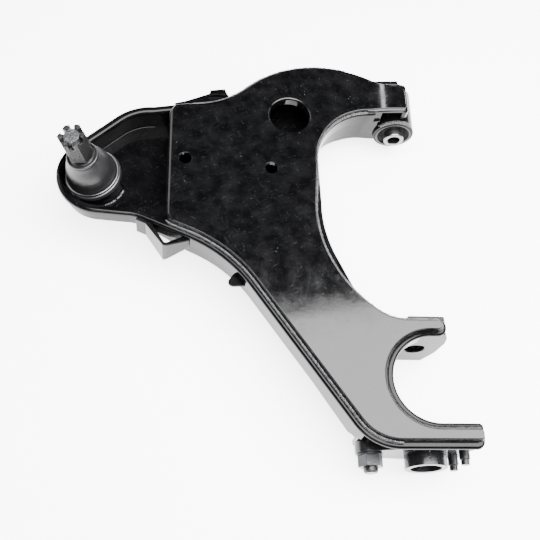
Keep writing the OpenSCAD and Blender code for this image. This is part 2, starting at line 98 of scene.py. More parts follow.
# Painted glow: the floor's emission is strongest by the part, where it fills in the part's shadow, and fades outwards
fade = floor_nodes.new("ShaderNodeMapRange")
fade.interpolation_type = "SMOOTHSTEP"
fade.inputs["From Min"].default_value, fade.inputs["From Max"].default_value = glow_from, glow_to
fade.inputs["To Min"].default_value, fade.inputs["To Max"].default_value = painted_glow_near, painted_glow_far
from_below, clear = floor_nodes.new("ShaderNodeNewGeometry"), floor_nodes.new("ShaderNodeBsdfTransparent")
pick = floor_nodes.new("ShaderNodeMixShader")
floor_links.new(floor_at.outputs["Object"], floor_far.inputs[0])
floor_links.new(floor_far.outputs["Value"], fade.inputs["Value"])
floor_links.new(fade.outputs["Result"], floor_shader.inputs["Emission Strength"])
floor_links.new(from_below.outputs["Backfacing"], pick.inputs[0])
floor_links.new(floor_shader.outputs[0], pick.inputs[1])
floor_links.new(clear.outputs[0], pick.inputs[2])
floor_links.new(pick.outputs[0], floor_nodes["Material Output"].inputs["Surface"])
floor_mesh.materials.append(floor_paint)


# Studio light: one large soft light overhead whose front edge shows as the bright half of the
# glossy plate, a small one behind the camera, a strip over the nose, one at the left and a dim room.
def soft_light(name, place, aim, width, depth, watts):
    lamp = bpy.data.lights.new(name, "AREA")
    lamp.shape = "RECTANGLE"
    lamp.size, lamp.size_y, lamp.energy = width, depth, watts
    holder = bpy.data.objects.new(name, lamp)
    holder.location = place
    holder.rotation_euler = (Vector(place) - Vector(aim)).to_track_quat("Z", "Y").to_euler()
    bpy.context.collection.objects.link(holder)
    return holder


overhead = soft_light("overhead", (0.30, -0.28, 1.15), (0.30, -0.28, 0), 1.6, 1.0, 140)
overhead.rotation_euler = (0, 0, math.radians(11.3))
soft_light("behind_camera", (-0.4, -1.3, 1.3), (-0.15, -0.2, 0.0), 0.9, 0.5, 16)
soft_light("nose_strip", (0.528, 0.91, 1.15), (0.528, 0.91, 0), 0.1, 0.6, 6)
soft_light("left_side", (-1.15, 0.62, 0.9), (-0.25, -0.1, 0.0), 1.1, 1.0, 16)
room = bpy.data.worlds.new("room")
bpy.context.scene.world = room
room.use_nodes = True
room_nodes, room_links = room.node_tree.nodes, room.node_tree.links
sky = room_nodes["Background"]
sky.inputs["Strength"].default_value = 0.5
where = room_nodes.new("ShaderNodeTexCoord")
split = room_nodes.new("ShaderNodeSeparateXYZ")
upward = room_nodes.new("ShaderNodeMath")
upward.operation = "MULTIPLY_ADD"
upward.inputs[1].default_value = upward.inputs[2].default_value = 0.5
ramp = room_nodes.new("ShaderNodeValToRGB")
for stop, position, grey in zip(ramp.color_ramp.elements, (0.5, 0.75), (0.5, 0.2)):
    stop.position, stop.color = position, (grey, grey, grey, 1)
room_links.new(where.outputs["Generated"], split.inputs[0])
room_links.new(split.outputs["Z"], upward.inputs[0])
room_links.new(upward.outputs[0], ramp.inputs[0])
room_links.new(ramp.outputs[0], sky.inputs["Color"])

# Lower pan: one pressing of steel sheet with a turned-down skirt, a flat rim, a wall and a floor,
# raised at the ball joint. It is painted gloss black with the top plate after both are welded.
# Sizes are in millimetres, as in the drawing. An outline takes g, how far it is set in or out.
ball_x, ball_y = -324, -113
joint_z, joint_lean = 22, 12
plate_left = ball_x + 72
fork_y, fork_r = -282, 48.5
fork_mid_y = fork_y - 45.5
leg_y, leg_end_x = fork_mid_y - fork_r - 9.5, 43
rim_top, sheet_t = 45.5, 3.5
nose_x = 5
nose_bend_from, nose_bend_to = -32, -12
nose_slope = math.tan(math.radians(10))
floor_top, floor_step, step_x, step_run = 3.5, 17, -234, 5
bush_tube_r = 22.7
rear_c = (ball_x + 37.7, fork_y - 34.1)
heel_c = (-32.6, leg_y + 45)
merge_dist = 2e-6


def arc(c, r, a0, a1, steps):
    angles = [math.radians(a0 + (a1 - a0) * i / steps) for i in range(steps + 1)]
    return [(c[0] + r * math.cos(a), c[1] + r * math.sin(a)) for a in angles]


def circle(x, y, r, steps=96):
    return arc((x, y), r, 0, 360 - 360 / steps, steps - 1)


def rim_outline(g):
    back = g * g
    return (arc((ball_x + 56, ball_y + 23), 57.5 - g, 90, 135, 12) + arc((ball_x + 6, ball_y - 4), 44 - g, 135, 268, 34)
            + arc((ball_x + 32, ball_y - 90), 40 + g, 90, 67, 8) + arc(rear_c, 142 + g, 67, 34, 30)
            + arc(heel_c, 53 - g, 214, 270, 14) + arc((leg_end_x - 6, leg_y), 8 - min(g, 7), 270, 360, 8)
            + arc((leg_end_x - 2, leg_y + 12.5), 4 - min(g, 3), 0, 90, 6)
            + arc((7, fork_mid_y + 1), fork_r - 6 + g, 270, 90 + 0.15 * back, 46)
            + arc((12 - 0.185 * back, fork_y + 7), 9 - min(g, 8.5), 270, 450, 16)
            + arc((-19, fork_y + 57), 41 + g, 270 + 0.15 * back, 234, 10) + arc((36, -150), 134 + g, 233, 220, 8)
            + arc((40, -146), 134.5 + g, 204, 178, 18) + arc((-35, -92), 61 + g, 186, 91, 26)
            + arc((nose_x - 1, -17), 5 - min(g, 4), 270, 360, 6) + arc((nose_x - 4, 4), 8 - min(g, 7), 0, 80, 8)
            + [(nose_x - 7, 13 - g), (nose_x - 8, 17 - g)] + arc((-86, -92), 121 - g, 62, 132.4, 40)
            + arc((ball_x + 99, 60), 85 + g, 312.4, 270, 14))


def ease(t):
    t = min(1, max(0, t))
    return t * t * (3 - 2 * t)


def nose_drop(x):
    # How far the sheet has bent down over the bush at x: level, then a curve, then a straight slope
    if x < nose_bend_from:
        return 0
    if x < nose_bend_to:
        return (x - nose_bend_from) ** 2 * nose_slope / (2 * (nose_bend_to - nose_bend_from))
    return (x - (nose_bend_from + nose_bend_to) / 2) * nose_slope


def rim_height(x, y):
    return rim_top - nose_drop(x) * ease((9.6 - y) / 2.4) * ease((y + 70) / 20)


def floor_height(x):
    return floor_top + floor_step * ease((step_x - x) / step_run)


def skirt_depth(x, y):
    # Shallow at the ball joint, deeper along the arm, and deepest behind the fork
    if x < -60 and y < fork_y + 26:
        return max(17, min(42, 17 + 25 * (fork_y + 26 - y) / 89, 42 - 16 * max(0, fork_y - 80 - y) / 13))
    return 7 + 10 * min(1, max(0, (x - ball_x + 8) / 46))


def pan_height(x, y, part, lift):
    if part == "skirt":
        return rim_top - skirt_depth(x, y) + lift
    return (rim_height(x, y) if part == "rim" else floor_height(x)) + lift


def bend_rows(g0, g1, lift0, lift1, part, steps, hollow=False):
    # A quarter turn of the section from (g0, lift0) to (g1, lift1)
    rows = []
    for i in range(1, steps):
        a = math.pi / 2 * i / steps
        u, v = (1 - math.cos(a), math.sin(a)) if hollow else (math.sin(a), 1 - math.cos(a))
        rows.append((g0 + (g1 - g0) * u, part, lift0 + (lift1 - lift0) * v))
    return rows


# The sheet's section from the foot of the skirt, over the rim, down the wall and back underneath
pan_rows = ([(0.4, "skirt", 0), (0, "skirt", 0.5), (0, "rim", -3.2)] + bend_rows(0, 3, -3.2, 0, "rim", 5, True)
            + [(3, "rim", 0), (4.8, "rim", 0)] + bend_rows(4.8, 9, 0, -4.6, "rim", 7)
            + [(9, "rim", -4.6), (9, "floor", 2)] + bend_rows(9, 10, 2, 0, "floor", 3, True)
            + [(10, "floor", 0), (10, "floor", -3.5), (6.4, "floor", -3.5), (5.8, "floor", -2.6), (5.8, "rim", -5.5),
               (5, "rim", -3.6), (3.8, "rim", -3.6), (3.2, "rim", -5), (3.2, "skirt", 0.5), (2.8, "skirt", 0)])


def metres(x, y, z):
    return (x / 1000, y / 1000, z / 1000)


def along_y(x, y, z):
    # A block drawn in X and Z and pushed along Y
    return metres(x, z, y)


def at_joint(x, y, z):
    # A block drawn about the ball joint's leaning axis
    lean = math.radians(joint_lean)
    return metres(ball_x + x * math.cos(lean) - z * math.sin(lean), ball_y + y,
                  joint_z + x * math.sin(lean) + z * math.cos(lean))


def new_piece(name, work, body, slot, *nodes):
    mesh = bpy.data.meshes.new(name)
    bmesh.ops.recalc_face_normals(work, faces=work.faces)
    work.to_mesh(mesh)
    work.free()
    piece = bpy.data.objects.new(name, mesh)
    bpy.context.collection.objects.link(piece)
    for polygon in mesh.polygons:
        polygon.use_smooth = True
    if body:
        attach(piece, body)
        if nodes:
            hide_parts(*nodes)
    return piece


def close_rings(work, rings, around=True):
    # Joins neighbouring rings of points with quads; around also joins the last ring to the first
    for i in range(len(rings) if around else len(rings) - 1):
        lower, upper = rings[i], rings[(i + 1) % len(rings)]
        for k in range(len(lower)):
            n = (k + 1) % len(lower)
            work.faces.new((lower[k], lower[n], upper[n], upper[k]))


def solid(outline, z0, z1, place=metres):
    # A straight-sided block with this outline
    work = bmesh.new()
    low = [work.verts.new(place(x, y, z0)) for x, y in outline]
    high = [work.verts.new(place(x, y, z1)) for x, y in outline]
    work.faces.new(low[::-1])
    work.faces.new(high)
    close_rings(work, [low, high], False)
    return work


def slice_for_bend(work, places):
    # Cuts the flat sheet across at each x, so that it can bend there
    for x in places:
        everything = list(work.verts) + list(work.edges) + list(work.faces)
        bmesh.ops.bisect_plane(work, geom=everything, plane_co=(x / 1000, 0, 0), plane_no=(1, 0, 0), dist=1e-7)


def cut(piece, *cutters, how="DIFFERENCE"):
    # Takes the closed cutters out of the piece (or adds them) and leaves a plain mesh
    together = bmesh.new()
    for work in cutters:
        bmesh.ops.recalc_face_normals(work, faces=work.faces)
        part = bpy.data.meshes.new("cutter")
        work.to_mesh(part)
        work.free()
        together.from_mesh(part)
        bpy.data.meshes.remove(part)
    tool = new_piece("cutter", together, None, None)
    change = piece.modifiers.new("cut", "BOOLEAN")
    change.operation, change.solver, change.object, change.use_self = how, "EXACT", tool, True
    done = bpy.data.meshes.new_from_object(piece.evaluated_get(bpy.context.evaluated_depsgraph_get()))
    piece.modifiers.remove(change)
    clean = bmesh.new()
    clean.from_mesh(done)
    bmesh.ops.remove_doubles(clean, verts=clean.verts, dist=merge_dist)
    bmesh.ops.dissolve_degenerate(clean, edges=clean.edges, dist=merge_dist)
    clean.to_mesh(done)
    clean.free()
    old = piece.data
    piece.data = done
    bpy.data.meshes.remove(old)
    bpy.data.objects.remove(tool)


def even_shading(piece, angle=28, width=0.0):
    # Rounds the cut edges a little and keeps flat faces flat
    if width:
        edge = piece.modifiers.new("edge", "BEVEL")
        edge.width, edge.segments, edge.limit_method = width / 1000, 2, "ANGLE"
        edge.angle_limit = math.radians(angle + 8)
        edge.harden_normals = False
        edge.use_clamp_overlap = True
    flat = piece.modifiers.new("even_faces", "WEIGHTED_NORMAL")
    flat.keep_sharp, flat.weight = True, 60
    mesh = piece.data
    work = bmesh.new()
    work.from_mesh(mesh)
    for e in work.edges:
        e.smooth = len(e.link_faces) == 2 and e.calc_face_angle(0) < math.radians(angle)
    for f in work.faces:
        f.smooth = True
    work.to_mesh(mesh)
    work.free()


ring_work = bmesh.new()
rings = []
for inset, part, lift in pan_rows:
    rings.append([ring_work.verts.new(metres(x, y, pan_height(x, y, part, lift))) for x, y in rim_outline(inset)])
close_rings(ring_work, rings)
pan = new_piece("pressed_lower_pan", ring_work, "arm", "black_paint", "lower_pan")

floor_work = bmesh.new()
floor_work.faces.new([floor_work.verts.new(metres(x, y, 0)) for x, y in rim_outline(8)])
slice_for_bend(floor_work, [step_x - step_run + i * step_run / 6 for i in range(7)])
for v in floor_work.verts:
    v.co.z = floor_height(v.co.x * 1000) / 1000
lifted = bmesh.ops.extrude_face_region(floor_work, geom=list(floor_work.faces))["geom"]
for v in lifted:
    if isinstance(v, bmesh.types.BMVert):
        v.co.z -= sheet_t / 1000
# Round wall at the ball end that closes the pan behind the joint
end_wall = solid(arc((0, 0), 32.2, 115, 245, 40) + arc((0, 0), 26, 245, 115, 40), -2, 24, at_joint)
cut(pan, floor_work, end_wall, how="UNION")

# Room for the bush tube and its mouth, the ball joint, the rear wall and its bolt, the nose's rim
# and the ears, then the holes that lighten the floor
floor_holes = ((-125, -54, 14), (-150, -130, 20), (-105, -225, 14), (-212, -120, 10))
cut(pan,
    solid(circle(0, 0, bush_tube_r), -60, 60, along_y),
    solid([(-22, 0), (2, 0), (2, 42 - 24 * nose_slope), (-22, 42)], -60, -10, along_y),
    solid(circle(0, 0, 27), -40, 40, at_joint),
    solid(circle(0, 0, 30.2), 5, 85, at_joint),
    solid([(-67, -406), (120, -406), (120, -372), (-67, -372)], -60, 42),
    solid(circle(-53.5, 0, 13.1), -373, -362.2, along_y),
    solid([(-30, -34), (6, -26.5), (6, -21.9), (1, -21.4), (-30, -27.3)], 30, 47),
    solid([(-16, -286), (64, -286), (64, -265), (-16, -265)], -60, 42),
    *[solid(circle(x, y, r, 64), -1, 9) for x, y, r in floor_holes])
even_shading(pan, 32)

# The marks that every finish has: faint stains, dust specks of two sizes and fine scratches
marks_tree = bpy.data.node_groups.new("surface_marks", "ShaderNodeTree")
for label, kind, side in (("Scale", "Float", "INPUT"), ("Colour", "Color", "INPUT"),
                          ("Mark Colour", "Color", "INPUT"),
                          ("Roughness", "Float", "INPUT"), ("Marks", "Float", "INPUT"),
                          ("Colour", "Color", "OUTPUT"), ("Roughness", "Float", "OUTPUT"),
                          ("Height", "Float", "OUTPUT")):
    marks_tree.interface.new_socket(label, in_out=side, socket_type="NodeSocket" + kind)
wn, wl = marks_tree.nodes, marks_tree.links
marks_in, marks_out = wn.new("NodeGroupInput"), wn.new("NodeGroupOutput")
spot = wn.new("ShaderNodeTexCoord")


def noise(scale, detail, rough=0.55, stretch=None):
    # Noise fixed to the piece; stretch draws it out by a scale and a turn
    tex = wn.new("ShaderNodeTexNoise")
    tex.inputs["Detail"].default_value, tex.inputs["Roughness"].default_value = detail, rough
    times = wn.new("ShaderNodeMath")
    times.operation = "MULTIPLY"
    times.inputs[1].default_value = scale
    wl.new(marks_in.outputs["Scale"], times.inputs[0])
    wl.new(times.outputs[0], tex.inputs["Scale"])
    at_spot = spot.outputs["Object"]
    if stretch:
        squeeze = wn.new("ShaderNodeMapping")
        squeeze.vector_type = "TEXTURE"
        squeeze.inputs["Scale"].default_value, squeeze.inputs["Rotation"].default_value = stretch
        wl.new(at_spot, squeeze.inputs["Vector"])
        at_spot = squeeze.outputs["Vector"]
    wl.new(at_spot, tex.inputs["Vector"])
    return tex.outputs["Fac"]


def between(value, low, high):
    span = wn.new("ShaderNodeMapRange")
    span.inputs["From Min"].default_value, span.inputs["From Max"].default_value = low, high
    wl.new(value, span.inputs["Value"])
    return span.outputs["Result"]


def maths(kind, a, b):
    step = wn.new("ShaderNodeMath")
    step.operation = kind
    for socket, value in zip(step.inputs, (a, b)):
        if isinstance(value, (int, float)):
            socket.default_value = value
        else:
            wl.new(value, socket)
    return step.outputs[0]


stains = between(noise(38, 6, 0.66), 0.40, 0.72)
specks = between(noise(1100, 2), 0.70, 0.78)
coarse_specks = between(noise(430, 1), 0.775, 0.82)
scratches = maths("MAXIMUM", between(noise(40, 2, 0.6, ((1, 0.025, 1), (0, 0, 0.62))), 0.70, 0.74),
                  between(noise(55, 2, 0.6, ((1, 0.03, 1), (0, 0, -0.95))), 0.71, 0.745))
dust = maths("MAXIMUM", maths("MAXIMUM", specks, coarse_specks), maths("MULTIPLY", scratches, 0.35))
marks = maths("MULTIPLY", maths("ADD", maths("MULTIPLY", stains, 0.055), dust), marks_in.outputs["Marks"])
tint = wn.new("ShaderNodeMix")
tint.data_type = "RGBA"
tint_a, tint_b = [s for s in tint.inputs if s.name in ("A", "B") and s.type == "RGBA"]
wl.new(marks, tint.inputs["Factor"])
wl.new(marks_in.outputs["Colour"], tint_a)
wl.new(marks_in.outputs["Mark Colour"], tint_b)
wl.new([s for s in tint.outputs if s.type == "RGBA"][0], marks_out.inputs["Colour"])
dulling = maths("ADD", maths("MULTIPLY", stains, 0.08), maths("MULTIPLY", dust, 0.3))
wl.new(maths("ADD", marks_in.outputs["Roughness"], maths("MULTIPLY", dulling, marks_in.outputs["Marks"])),
       marks_out.inputs["Roughness"])
wl.new(maths("ADD", maths("MULTIPLY", noise(160, 3), 0.5), maths("MULTIPLY", dust, 0.5)), marks_out.inputs["Height"])


def finish(name, colour, mark_colour, metallic, roughness, marks, scale=1.0, bump=0.00004, specular=0.5, grain=None):
    # A surface with its marks; grain adds a finer texture by its scale and height
    coat = bpy.data.materials.new(name)
    coat.use_nodes = True
    mn, ml = coat.node_tree.nodes, coat.node_tree.links
    shader = mn["Principled BSDF"]
    worn = mn.new("ShaderNodeGroup")
    worn.node_tree = marks_tree
    worn.inputs["Scale"].default_value = scale
    worn.inputs["Colour"].default_value = (*colour, 1)
    worn.inputs["Mark Colour"].default_value = (*mark_colour, 1)
    worn.inputs["Roughness"].default_value = roughness
    worn.inputs["Marks"].default_value = marks
    shader.inputs["Metallic"].default_value = metallic
    shader.inputs["Specular IOR Level"].default_value = specular
    relief = mn.new("ShaderNodeBump")
    relief.inputs["Distance"].default_value, relief.inputs["Strength"].default_value = bump, 1.0
    height = worn.outputs["Height"]
    if grain:
        tex, where_on, more = mn.new("ShaderNodeTexNoise"), mn.new("ShaderNodeTexCoord"), mn.new("ShaderNodeMath")
        tex.inputs["Scale"].default_value, tex.inputs["Detail"].default_value = grain[0], 4
        more.operation = "MULTIPLY_ADD"
        more.inputs[1].default_value = grain[1]
        ml.new(where_on.outputs["Object"], tex.inputs["Vector"])
        ml.new(tex.outputs["Fac"], more.inputs[0])
        ml.new(height, more.inputs[2])
        height = more.outputs[0]
    ml.new(height, relief.inputs["Height"])
    ml.new(worn.outputs["Colour"], shader.inputs["Base Color"])
    ml.new(worn.outputs["Roughness"], shader.inputs["Roughness"])
    ml.new(relief.outputs["Normal"], shader.inputs["Normal"])
    return coat


def coat_with(coat, *pieces):
    for piece in pieces:
        piece.data.materials.clear()
        piece.data.materials.append(coat)


paint_pan = finish("black_paint_pan", (0.0008, 0.0008, 0.0010), (0.06, 0.06, 0.062),
                   metallic=0, roughness=0.11, marks=0.7, specular=0.13)
coat_with(paint_pan, pan)

# Top plate: one flat pressing laid on the pan's rim and welded all round. Its nose bends down over
# the bush, its left edge is turned down across the pocket, and the large hole has a drawn collar.
plate_top, plate_t = 50, 4.5
nose_front_y = 8
lip_softness, lip_width = 2.8, 8
access_hole = (-125, -40, 21)
small_holes = ((ball_x + 90, ball_y + 15, 6.5), (-146, -106, 6.5))


def plate_outline(g):
    return (arc((plate_left + 12, ball_y + 69.5), 12 + g, 90, 180, 12)
            + arc((plate_left + 12, ball_y - 47), 12 + g, 180, 247, 10)
            + arc(rear_c, 150 - g, 67, 34, 30) + arc(heel_c, 45 + g, 214, 270, 14)
            + arc((leg_end_x - 2, leg_y + 2), 2 + g, 270, 360, 4) + arc((leg_end_x - 2, leg_y + 7.5), 2 + g, 0, 90, 4)
            + arc((4, fork_mid_y), fork_r - g, 270, 90, 46) + arc((11, fork_y + 7.5), 4.5 + g, 270, 450, 12)
            + arc((-19, fork_y + 57), 45 - g, 270, 234, 10) + arc((36, -150), 138 - g, 233, 178, 34)
            + arc((-35, -92), 64 - g, 186, 91, 26) + arc((nose_x - 4, -17), 4 + g, 270, 360, 6)
            + arc((nose_x - 7, nose_front_y - 7), 7 + g, 0, 90, 8) + [(-26, nose_front_y + g)]
            + arc((-90, -92), 117 + g, 66, 133, 40) + arc((ball_x + 94, 57.9), 88 - g, 313, 270, 14))


# The plate's edge as (inset, depth below the top), from the underside up over the rounded corner
edge_rows = ((0.35, -plate_t), (0, -plate_t + 0.35), (0, -1.1), (0.08, -0.69), (0.32, -0.32), (0.69, -0.08), (1.1, 0))
plate_work = bmesh.new()
rings = []
for inset, z in edge_rows:
    ring = []
    for (x, y), (u, v) in zip(plate_outline(0), plate_outline(-1)):
        soft = 1 + lip_softness * ease((plate_left + lip_width - x) / 6) if z > -plate_t + 0.4 else 1
        ring.append(plate_work.verts.new(metres(x + (u - x) * inset * soft, y + (v - y) * inset * soft,
                                                plate_top + z * soft)))
    rings.append(ring)
close_rings(plate_work, rings, False)
plate_work.faces.new(rings[0][::-1])
plate_work.faces.new(rings[-1])
slice_for_bend(plate_work, [nose_bend_from + i * 20 / 12 for i in range(13)])
for v in plate_work.verts:
    if v.co.y > -0.06:
        v.co.z -= nose_drop(v.co.x * 1000) / 1000
plate = new_piece("pressed_top_plate", plate_work, "arm", "black_paint", "upper_plate")


def flared(x, y, r, flare):
    # A round cutter that opens out in a curve at the top of the hole
    work = bmesh.new()
    quarter = [math.pi / 2 * i / 6 for i in range(1, 7)]
    section = ([(r, -20), (r, plate_top - flare)]
               + [(r + flare * (1 - math.cos(a)), plate_top - flare + flare * math.sin(a)) for a in quarter]
               + [(r + flare, plate_top + 9)])
    rows = [[work.verts.new(metres(px, py, z)) for px, py in circle(x, y, radius)] for radius, z in section]
    close_rings(work, rows, False)
    work.faces.new(rows[0][::-1])
    work.faces.new(rows[-1])
    return work


collar = solid(circle(*access_hole[:2], 24), 40.5, 47.2)
turned_lip = solid([(plate_left + 0.3, ball_y - 38), (plate_left + 4, ball_y - 40),
                    (plate_left + 4, ball_y + 62), (plate_left + 0.3, ball_y + 60)], 39.5, 46.2)
cut(plate, collar, turned_lip, how="UNION")
cut(plate, flared(*access_hole, 2.2), *[flared(*hole, 0.5) for hole in small_holes])
even_shading(plate, 32)
paint_plate = finish("black_paint", (0.0008, 0.0008, 0.0010), (0.07, 0.07, 0.072),
                     metallic=0, roughness=0.085, marks=0.9, scale=1.6, bump=0.00003, specular=0.3)
coat_with(paint_plate, plate)

# Weld beads: an even throat laid by hand in the corner between two pressings, with short
# overlapping ripples on it, left rough and then painted over with the rest.
weld_throat = finish("weld_throat", (0.0016, 0.0016, 0.0018), (0.05, 0.05, 0.05),
                     metallic=0, roughness=0.18, marks=0.8, scale=2.0, bump=0.0004, specular=0.16, grain=(300, 1.6))
weld_metal = finish("weld_bead", (0.012, 0.012, 0.013), (0.3, 0.3, 0.3),
                    metallic=0.1, roughness=0.2, marks=1.0, scale=2.0, bump=0.0002, specular=0.6, grain=(900, 1.5))
throat_rows = ((-0.15, 3.3), (0.05, 3.3), (0.25, 2.3), (0.5, 1.3), (0.8, 0.55), (1, 0.05), (1, -0.6), (-0.15, -0.6))
bead_tree = bpy.data.node_groups.new("weld_bead", "GeometryNodeTree")
bead_face = bead_tree.interface
bead_face.new_socket("Geometry", in_out="INPUT", socket_type="NodeSocketGeometry")
for label, kind in (("Ripple Radius", "Float"), ("Ripple Spacing", "Float"), ("Seed", "Int"), ("Finish", "Material")):
    bead_face.new_socket(label, in_out="INPUT", socket_type="NodeSocket" + kind)
bead_face.new_socket("Geometry", in_out="OUTPUT", socket_type="NodeSocketGeometry")
bn, bl = bead_tree.nodes, bead_tree.links
bead_in, bead_out = bn.new("NodeGroupInput"), bn.new("NodeGroupOutput")
to_curve, resample = bn.new("GeometryNodeMeshToCurve"), bn.new("GeometryNodeResampleCurve")
resample.mode = "LENGTH"
place, ripple = bn.new("GeometryNodeInstanceOnPoints"), bn.new("GeometryNodeMeshUVSphere")
ripple.inputs["Segments"].default_value, ripple.inputs["Rings"].default_value = 9, 6
size, spin = bn.new("FunctionNodeRandomValue"), bn.new("FunctionNodeRandomValue")
size.data_type = spin.data_type = "FLOAT_VECTOR"
size.inputs["Min"].default_value, size.inputs["Max"].default_value = (0.75, 0.75, 0.6), (1.2, 1.2, 1.05)
spin.inputs["Min"].default_value, spin.inputs["Max"].default_value = (-0.5, -0.5, -3), (0.5, 0.5, 3)
realize, paint = bn.new("GeometryNodeRealizeInstances"), bn.new("GeometryNodeSetMaterial")
shade = bn.new("GeometryNodeSetShadeSmooth")
for source, out_name, target, in_name in (
        (bead_in, "Geometry", to_curve, "Mesh"), (to_curve, "Curve", resample, "Curve"),
        (bead_in, "Ripple Spacing", resample, "Length"), (resample, "Curve", place, "Points"),
        (bead_in, "Ripple Radius", ripple, "Radius"), (ripple, "Mesh", place, "Instance"),
        (bead_in, "Seed", size, "Seed"), (bead_in, "Seed", spin, "Seed"),
        (size, "Value", place, "Scale"), (spin, "Value", place, "Rotation"),
        (place, "Instances", realize, "Geometry"), (realize, "Geometry", shade, "Geometry"),
        (shade, "Geometry", paint, "Geometry"), (bead_in, "Finish", paint, "Material"),
        (paint, "Geometry", bead_out, "Geometry")):
    bl.new(source.outputs[out_name], target.inputs[in_name])


def weld(name, points, radius, spacing, seed):
    # A row of ripples along the points
    mesh = bpy.data.meshes.new(name)
    mesh.from_pydata([metres(*p) for p in points], [(i, i + 1) for i in range(len(points) - 1)], [])
    line = bpy.data.objects.new(name, mesh)
    bpy.context.collection.objects.link(line)
    run = line.modifiers.new("bead", "NODES")
    run.node_group = bead_tree
    values = {"Ripple Radius": radius / 1000, "Ripple Spacing": spacing / 1000, "Seed": seed, "Finish": weld_metal}
    for item in bead_face.items_tree:
        if item.in_out == "INPUT" and item.name in values:
            run[item.identifier] = values[item.name]
    done = bpy.data.meshes.new_from_object(line.evaluated_get(bpy.context.evaluated_depsgraph_get()))
    line.modifiers.clear()
    line.data = done
    bpy.data.meshes.remove(mesh)
    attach(line, "arm")


def seam(first, last, g, lift):
    # Points beside the plate's edge between two of its outline points, above the rim
    edge = plate_outline(g)[first:last]
    return [(x, y, rim_top - (nose_drop(x) if y > -60 else 0) + lift) for x, y in edge]


def fillet(name, first, last, width, seed):
    # A sloping throat from the plate's edge down onto the rim, with ripples if a seed is given
    work = bmesh.new()
    rows = [[work.verts.new(metres(*p)) for p in seam(first, last, across * width, lift)]
            for across, lift in throat_rows]
    for i in range(len(rows)):
        low, high = rows[i], rows[(i + 1) % len(rows)]
        for k in range(len(low) - 1):
            work.faces.new((low[k], low[k + 1], high[k + 1], high[k]))
    for k in (0, -1):
        work.faces.new([row[k] for row in rows])
    piece = new_piece(name, work, "arm", "black_paint")
    even_shading(piece, 60)
    coat_with(weld_throat, piece)
    if seed:
        weld(name + "_ripples", seam(first, last, width * 0.5, 1.0), 1.5, 1.5, seed)


# Points in each stretch of plate_outline, in its order, and where each stretch starts
stretch_points = [13, 11, 31, 15, 5, 5, 47, 13, 11, 35, 27, 7, 9, 1, 41, 15]
at = [sum(stretch_points[:i]) for i in range(len(stretch_points) + 1)]
fillet("weld_rear_edge", at[1] + 6, at[4], 4.8, 3)
fillet("weld_leg_end", at[4] - 1, at[6], 1.6, 0)
fillet("weld_fork", at[6] - 1, at[7] + 1, 3.8, 0)
fillet("weld_fork_tip", at[7], at[8], 2.4, 0)
fillet("weld_waist", at[8] - 1, at[11] - 1, 2.5, 8)
tube_weld_r, ring_weld_r = bush_tube_r + 0.5, 29
for name, y, first, last, radius, spacing, seed in (("weld_bush_tube", -24.3, 48, 140, 1.6, 1.6, 21),
                                                    ("weld_bush_back", -22.6, 60, 150, 1.3, 1.5, 22)):
    weld(name, [(tube_weld_r * math.cos(math.radians(a)), y, tube_weld_r * math.sin(math.radians(a)))
                for a in range(first, last, 6)], radius, spacing, seed)
for ring_turn, seed in ((-68, 31), (-40, 32)):
    weld("weld_ring_%d" % seed, [(ball_x + ring_weld_r * math.cos(math.radians(ring_turn + a)),
                                  ball_y + ring_weld_r * math.sin(math.radians(ring_turn + a)),
                                  floor_height(ball_x + ring_weld_r) + 0.6) for a in range(0, 22, 3)], 1.6, 1.4, seed)
fillet("weld_front_edge", at[14] + 6, at[16] - 1, 2.8, 13)

# Front bush: a steel tube welded across the nose in a saddle of the pan, painted with the arm. A
# thin steel shell is pushed into it, with rubber bonded between the shell and a bare inner sleeve.
body_of_node = {n: b for b, ns in frame["record"]["behaviour"]["bodies"].items() for n in ns}


def from_drawing(coat, **edge_radius):
    # Copies nodes of the drawing, joins their loose triangles and rounds their edges
    for node, radius in edge_radius.items():
        source = frame["nodes"][node]
        work = bmesh.new()
        work.from_mesh(source.data)
        bmesh.ops.transform(work, matrix=source.matrix_world, verts=work.verts)
        bmesh.ops.remove_doubles(work, verts=work.verts, dist=merge_dist)
        bmesh.ops.dissolve_limit(work, angle_limit=math.radians(1.2), verts=work.verts, edges=work.edges)
        mesh = bpy.data.meshes.new(node + "_finished")
        work.to_mesh(mesh)
        work.free()
        piece = bpy.data.objects.new(node + "_finished", mesh)
        bpy.context.collection.objects.link(piece)
        even_shading(piece, 28, radius)
        coat_with(coat, piece)
        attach(piece, body_of_node[node])
        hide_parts(node)


painted_tube = finish("painted_tube", (0.0015, 0.0015, 0.0017), (0.06, 0.06, 0.06),
                      metallic=0, roughness=0.16, marks=0.8, scale=1.2, bump=0.00006, specular=0.1)
pressed_shell = finish("pressed_shell", (0.03, 0.03, 0.032), (0.1, 0.1, 0.1),
                       metallic=0.9, roughness=0.3, marks=0.8, scale=1.4, bump=0.00006)
rubber = finish("rubber", (0.0012, 0.0012, 0.0013), (0.02, 0.02, 0.02),
                metallic=0, roughness=0.5, marks=0.6, scale=1.2, bump=0.00008, specular=0.15, grain=(1200, 1.5))
steel_bare = finish("bare_steel", (0.16, 0.16, 0.165), (0.1, 0.095, 0.09),
                    metallic=1.0, roughness=0.28, marks=0.8, scale=1.6, bump=0.00003, grain=(900, 0.8))
from_drawing(paint_pan, bush_saddle=0.8)
from_drawing(painted_tube, front_bush_tube=0.5)
from_drawing(pressed_shell, bush_outer_shell=0.25)
from_drawing(rubber, bush_rubber=0.4)
from_drawing(steel_bare, bush_inner_sleeve=0.5)

# Fork ears: two drilled plates of thick steel welded to the front leg of the fork, held apart by a
# length of tube. They are cut from sheet, and painted with the arm.
from_drawing(paint_pan, fork_ear=0.9, fork_ear_inner=0.9, ear_spacer=0.5)

